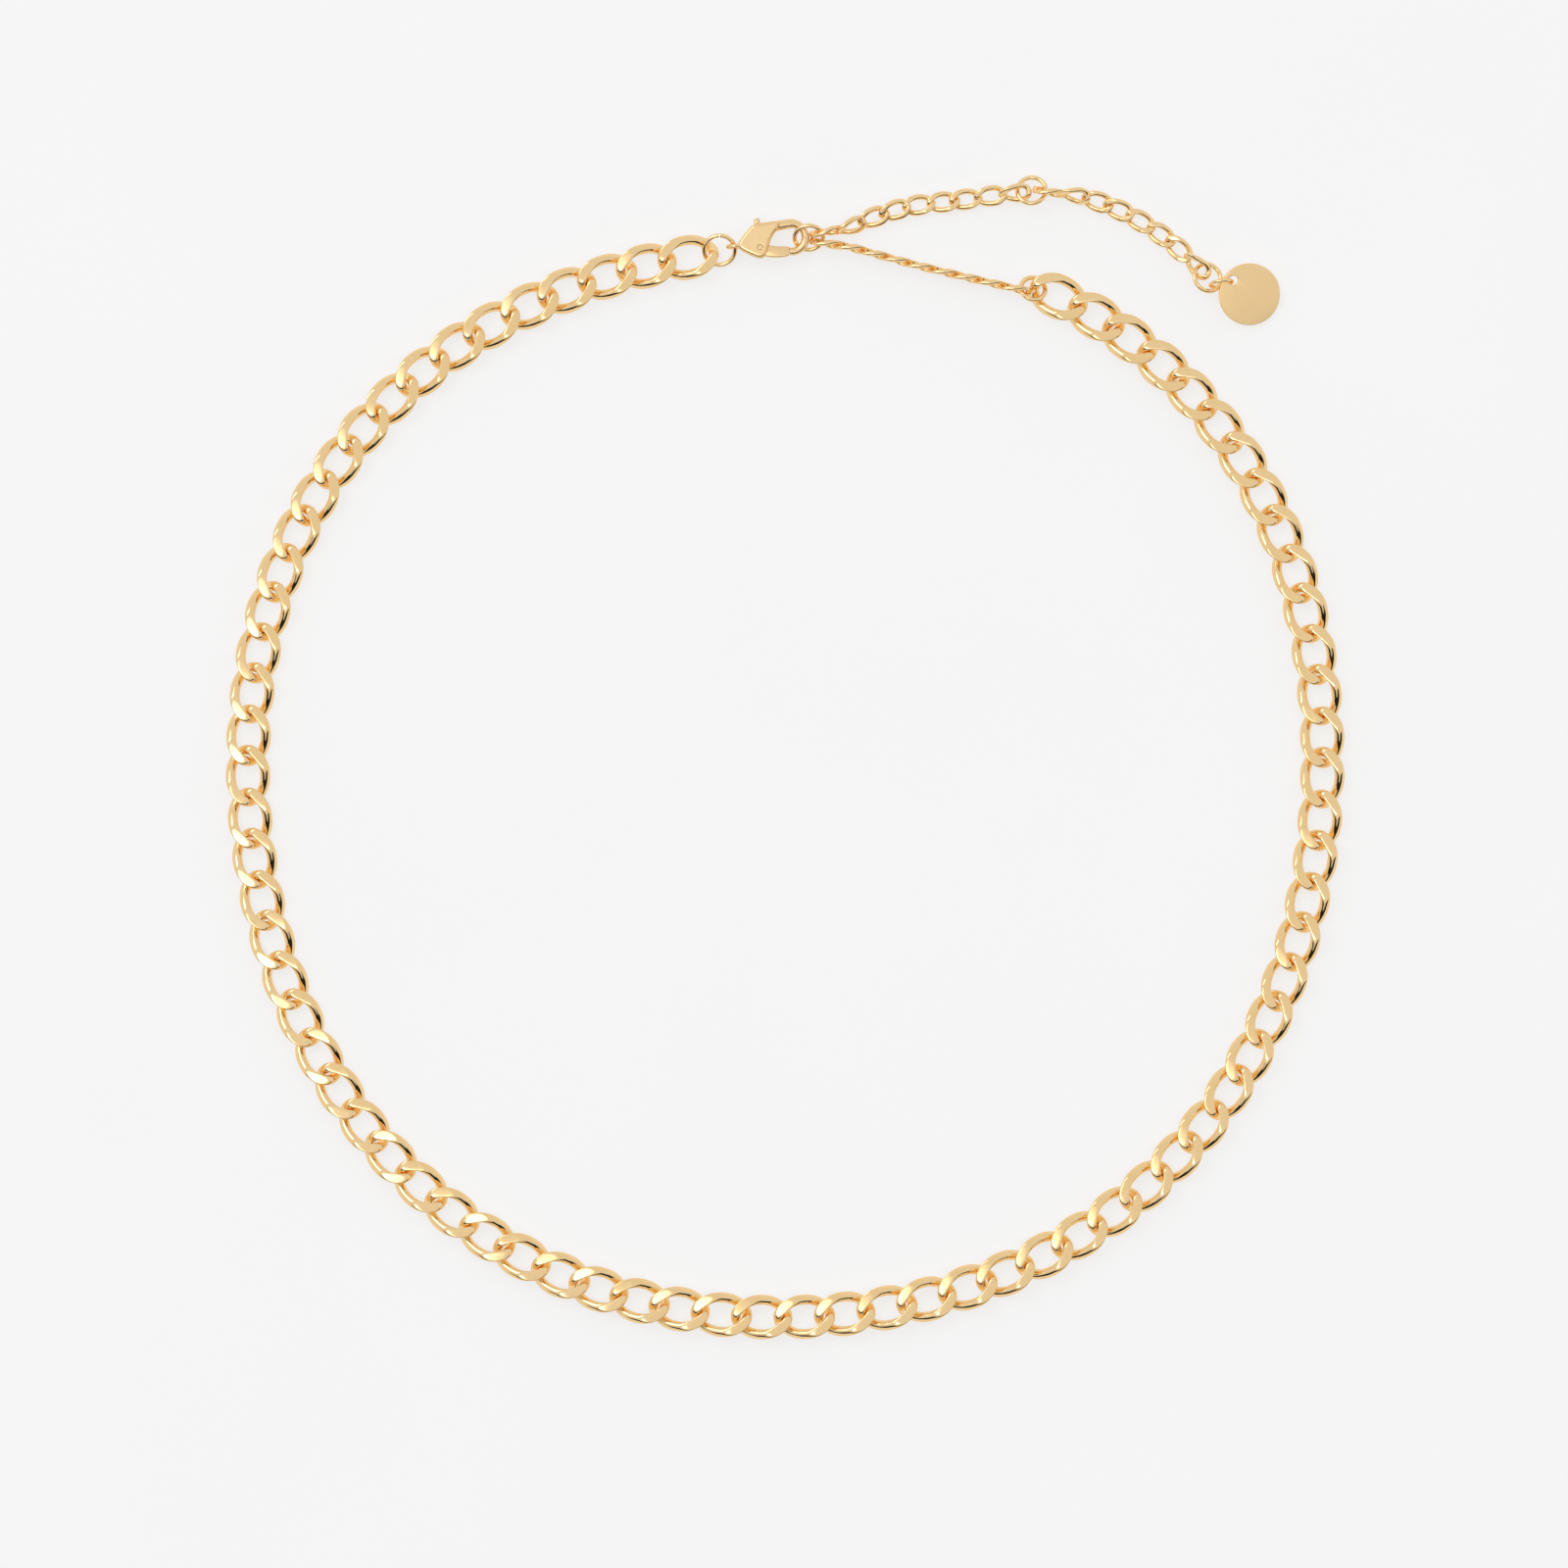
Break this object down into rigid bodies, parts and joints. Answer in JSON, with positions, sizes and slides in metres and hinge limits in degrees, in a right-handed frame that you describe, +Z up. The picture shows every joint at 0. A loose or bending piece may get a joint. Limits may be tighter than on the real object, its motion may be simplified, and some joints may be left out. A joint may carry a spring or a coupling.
{
  "type": "chain necklace",
  "caption": "Flat curb chain necklace with a lobster clasp, a fine adjustable extender with sizing rings and a plain disc tag.",
  "frame": {"origin": "the middle of the necklace laid out in its loop, on the surface it lies on", "axes": "+Z up from the surface, +Y towards the clasp and extender at the back of the neck, +X towards the extender end"},
  "size_m": [0.1324, 0.1378, 0.0029],
  "materials": {
    "chain_gold": "polished gold plate",
    "extender_gold": "polished gold plate",
    "ring_gold": "polished gold plate",
    "clasp_gold": "satin gold plate",
    "tag_gold": "satin gold plate",
    "spring_steel": "bare spring wire"
  },
  "bodies": {
    "clasp_lever": {"clasp_lever": "clasp_gold"},
    "disc_tag": {"disc_tag": "tag_gold"},
    "extender_links_01_03": {"extender_links_01_03": "extender_gold"},
    "extender_links_10_12": {"extender_links_10_12": "extender_gold"},
    "extender_links_13_15": {"extender_links_13_15": "extender_gold"},
    "extender_links_16_18": {"extender_links_16_18": "extender_gold"},
    "extender_links_19_21": {"extender_links_19_21": "extender_gold"},
    "extender_links_22_24": {"extender_links_22_24": "extender_gold"},
    "extender_links_25_26": {"extender_links_25_26": "extender_gold"},
    "front_links": {"curb_links_37_38": "chain_gold"},
    "loop_tier_01": {"curb_links_39_40": "chain_gold", "curb_links_35_36": "chain_gold"},
    "loop_tier_02": {"curb_links_41_42": "chain_gold", "curb_links_33_34": "chain_gold"},
    "loop_tier_03": {"curb_links_43_44": "chain_gold", "curb_links_31_32": "chain_gold"},
    "loop_tier_04": {"curb_links_45_46": "chain_gold", "curb_links_29_30": "chain_gold"},
    "loop_tier_05": {"curb_links_47_48": "chain_gold", "curb_links_27_28": "chain_gold"},
    "loop_tier_06": {"curb_links_49_50": "chain_gold", "curb_links_25_26": "chain_gold"},
    "loop_tier_07": {"curb_links_51_52": "chain_gold", "curb_links_23_24": "chain_gold"},
    "loop_tier_08": {"curb_links_53_54": "chain_gold", "curb_links_21_22": "chain_gold"},
    "loop_tier_09": {"curb_links_55_56": "chain_gold", "curb_links_19_20": "chain_gold"},
    "loop_tier_10": {"curb_links_57_58": "chain_gold", "curb_links_17_18": "chain_gold"},
    "loop_tier_11": {"curb_links_59_60": "chain_gold", "curb_links_15_16": "chain_gold"},
    "loop_tier_12": {"curb_links_61_62": "chain_gold", "curb_links_13_14": "chain_gold"},
    "loop_tier_13": {"curb_links_63_64": "chain_gold", "curb_links_11_12": "chain_gold"},
    "loop_tier_14": {"curb_links_65_66": "chain_gold", "curb_links_09_10": "chain_gold"},
    "loop_tier_15": {"curb_links_67_68": "chain_gold", "curb_links_07_08": "chain_gold"},
    "loop_tier_16": {"curb_links_69_70": "chain_gold", "curb_links_05_06": "chain_gold"},
    "loop_tier_17": {"curb_links_71_72": "chain_gold", "curb_links_03_04": "chain_gold"},
    "loop_tier_18": {"curb_links_73_74": "chain_gold", "curb_links_01_02": "chain_gold"},
    "loop_tier_19": {"clasp_jump_ring": "ring_gold", "extender_jump_ring": "ring_gold"},
    "loop_tier_20": {"clasp_body": "clasp_gold", "clasp_rivet": "clasp_gold", "clasp_spring": "spring_steel", "extender_links_07_09": "extender_gold"},
    "loop_tier_21": {"sizing_ring_1": "ring_gold", "extender_links_04_06": "extender_gold"},
    "sizing_ring_2": {"sizing_ring_2": "ring_gold"},
    "sizing_ring_3": {"sizing_ring_3": "ring_gold"},
    "tag_ring": {"tag_ring": "ring_gold"}
  },
  "joints": [
    {"name": "clasp_lever_swing", "type": "hinge", "parent": "loop_tier_20", "child": "clasp_lever", "pos_m": [-0.00278, 0.06034, 0.00122], "axis": [0, 0, 1], "range_deg": [0, 25], "stiffness_Nm_per_rad": 0.002, "springref_deg": -20.05, "deforming": ["clasp_spring"]},
    {"name": "tag_swing", "type": "hinge", "parent": "tag_ring", "child": "disc_tag", "pos_m": [0.05318, 0.05641, 0.00147], "axis": [0.1108, -0.2141, -0.9705], "range_deg": [-14, 7]},
    {"name": "tag_ring_swing", "type": "hinge", "parent": "sizing_ring_3", "child": "tag_ring", "pos_m": [0.051, 0.05578, 0.00099], "axis": [-0.687, -0.5826, 0.4343], "range_deg": [-20, 6]},
    {"name": "sizing_ring_3_swing", "type": "hinge", "parent": "extender_links_25_26", "child": "sizing_ring_3", "pos_m": [0.0495, 0.05745, 0.00104], "axis": [0.5467, 0.5675, 0.6157], "range_deg": [-20, 20]},
    {"name": "sizing_ring_2_swing", "type": "hinge", "parent": "extender_links_16_18", "child": "sizing_ring_2", "pos_m": [0.02832, 0.06692, 0.00105], "axis": [-0.0723, 0.7626, 0.6428], "range_deg": [-20, 20]},
    {"name": "extender_first_links_swing", "type": "hinge", "parent": "loop_tier_21", "child": "extender_links_01_03", "pos_m": [0.00333, 0.06107, 0.00118], "axis": [0.978, -0.2085, 0], "range_deg": [-8, 20]},
    {"name": "extender_10_12_lift", "type": "hinge", "parent": "loop_tier_21", "child": "extender_links_10_12", "pos_m": [0.00334, 0.06187, 0.00118], "axis": [0.6002, -0.6533, -0.4614], "range_deg": [0, 20]},
    {"name": "extender_13_15_bend", "type": "hinge", "parent": "extender_links_10_12", "child": "extender_links_13_15", "pos_m": [0.01184, 0.06431, 0.00078], "axis": [-0.2689, 0.9004, 0.342], "range_deg": [-20, 20]},
    {"name": "extender_16_18_bend", "type": "hinge", "parent": "extender_links_13_15", "child": "extender_links_16_18", "pos_m": [0.02019, 0.0659, 0.0004], "axis": [0.13, -0.9915, 0], "range_deg": [-20, 20]},
    {"name": "extender_19_21_bend", "type": "hinge", "parent": "sizing_ring_2", "child": "extender_links_19_21", "pos_m": [0.02973, 0.06716, 0.00118], "axis": [0.0873, -0.9237, 0.3731], "range_deg": [-9, 8]},
    {"name": "extender_22_24_bend", "type": "hinge", "parent": "extender_links_19_21", "child": "extender_links_22_24", "pos_m": [0.03838, 0.0653, 0.00069], "axis": [0.3938, 0.882, 0.2588], "range_deg": [-20, 20]},
    {"name": "extender_25_26_bend", "type": "hinge", "parent": "extender_links_22_24", "child": "extender_links_25_26", "pos_m": [0.04571, 0.06102, 0.00045], "axis": [-0.674, -0.7336, -0.0872], "range_deg": [-20, 20]},
    {"name": "bend_01", "type": "hinge", "parent": "front_links", "child": "loop_tier_01", "pos_m": [-0.01477, -0.06487, 0.00085], "axis": [0.9913, -0.1319, 0], "range_deg": [-12, 12]},
    {"name": "bend_02", "type": "hinge", "parent": "loop_tier_01", "child": "loop_tier_02", "pos_m": [-0.02422, -0.06216, 0.00085], "axis": [0.9909, -0.1349, 0], "range_deg": [-12, 12]},
    {"name": "bend_03", "type": "hinge", "parent": "loop_tier_02", "child": "loop_tier_03", "pos_m": [-0.03311, -0.05799, 0.00085], "axis": [0.9901, -0.1401, 0], "range_deg": [-12, 12]},
    {"name": "bend_04", "type": "hinge", "parent": "loop_tier_03", "child": "loop_tier_04", "pos_m": [-0.04117, -0.05238, 0.00085], "axis": [0.9893, -0.1461, 0], "range_deg": [-12, 13]},
    {"name": "bend_05", "type": "hinge", "parent": "loop_tier_04", "child": "loop_tier_05", "pos_m": [-0.04814, -0.04546, 0.00085], "axis": [-0.9885, 0.1515, 0], "range_deg": [-14, 13]},
    {"name": "bend_06", "type": "hinge", "parent": "loop_tier_05", "child": "loop_tier_06", "pos_m": [-0.05383, -0.03746, 0.00085], "axis": [-0.9879, 0.1552, 0], "range_deg": [-16, 15]},
    {"name": "bend_07", "type": "hinge", "parent": "loop_tier_06", "child": "loop_tier_07", "pos_m": [-0.05818, -0.02865, 0.00085], "axis": [-0.9876, 0.157, 0], "range_deg": [-18, 18]},
    {"name": "bend_08", "type": "hinge", "parent": "loop_tier_07", "child": "loop_tier_08", "pos_m": [-0.0612, -0.0193, 0.00085], "axis": [-0.9876, 0.1572, 0], "range_deg": [-20, 20]},
    {"name": "bend_09", "type": "hinge", "parent": "loop_tier_08", "child": "loop_tier_09", "pos_m": [-0.06295, -0.00963, 0.00085], "axis": [0.9877, -0.1566, 0], "range_deg": [-20, 20]},
    {"name": "bend_10", "type": "hinge", "parent": "loop_tier_09", "child": "loop_tier_10", "pos_m": [-0.06343, 0.00018, 0.00085], "axis": [0.9878, -0.156, 0], "range_deg": [-20, 20]},
    {"name": "bend_11", "type": "hinge", "parent": "loop_tier_10", "child": "loop_tier_11", "pos_m": [-0.0626, 0.00998, 0.00085], "axis": [0.9878, -0.1558, 0], "range_deg": [-20, 20]},
    {"name": "bend_12", "type": "hinge", "parent": "loop_tier_11", "child": "loop_tier_12", "pos_m": [-0.06035, 0.01954, 0.00085], "axis": [0.9878, -0.1559, 0], "range_deg": [-20, 20]},
    {"name": "bend_13", "type": "hinge", "parent": "loop_tier_12", "child": "loop_tier_13", "pos_m": [-0.05658, 0.02861, 0.00085], "axis": [-0.9878, 0.1556, 0], "range_deg": [-20, 20]},
    {"name": "bend_14", "type": "hinge", "parent": "loop_tier_13", "child": "loop_tier_14", "pos_m": [-0.05128, 0.03687, 0.00085], "axis": [-0.9881, 0.1536, 0], "range_deg": [-20, 19]},
    {"name": "bend_15", "type": "hinge", "parent": "loop_tier_14", "child": "loop_tier_15", "pos_m": [-0.04456, 0.04403, 0.00085], "axis": [-0.9889, 0.1488, 0], "range_deg": [-17, 15]},
    {"name": "bend_16", "type": "hinge", "parent": "loop_tier_15", "child": "loop_tier_16", "pos_m": [-0.03667, 0.04987, 0.00085], "axis": [-0.9901, 0.1405, 0], "range_deg": [-15, 13]},
    {"name": "bend_17", "type": "hinge", "parent": "loop_tier_16", "child": "loop_tier_17", "pos_m": [-0.02793, 0.05435, 0.00085], "axis": [0.9916, -0.129, 0], "range_deg": [-13, 13]},
    {"name": "bend_18", "type": "hinge", "parent": "loop_tier_17", "child": "loop_tier_18", "pos_m": [-0.01863, 0.05752, 0.00085], "axis": [0.9933, -0.1158, 0], "range_deg": [-12, 12]},
    {"name": "bend_19", "type": "hinge", "parent": "loop_tier_18", "child": "loop_tier_19", "pos_m": [-0.00887, 0.05969, 0.00083], "axis": [0.9938, -0.1112, -0.0025], "range_deg": [-12, 11]},
    {"name": "bend_20", "type": "hinge", "parent": "loop_tier_19", "child": "loop_tier_20", "pos_m": [-0.0058, 0.06045, 0.00122], "axis": [0.9883, -0.1522, -0.0013], "range_deg": [-20, 20]},
    {"name": "bend_21", "type": "hinge", "parent": "loop_tier_20", "child": "loop_tier_21", "pos_m": [0.0019, 0.06148, 0.00122], "axis": [-0.9729, 0.2312, 0.0024], "range_deg": [-20, 0]}
  ]
}
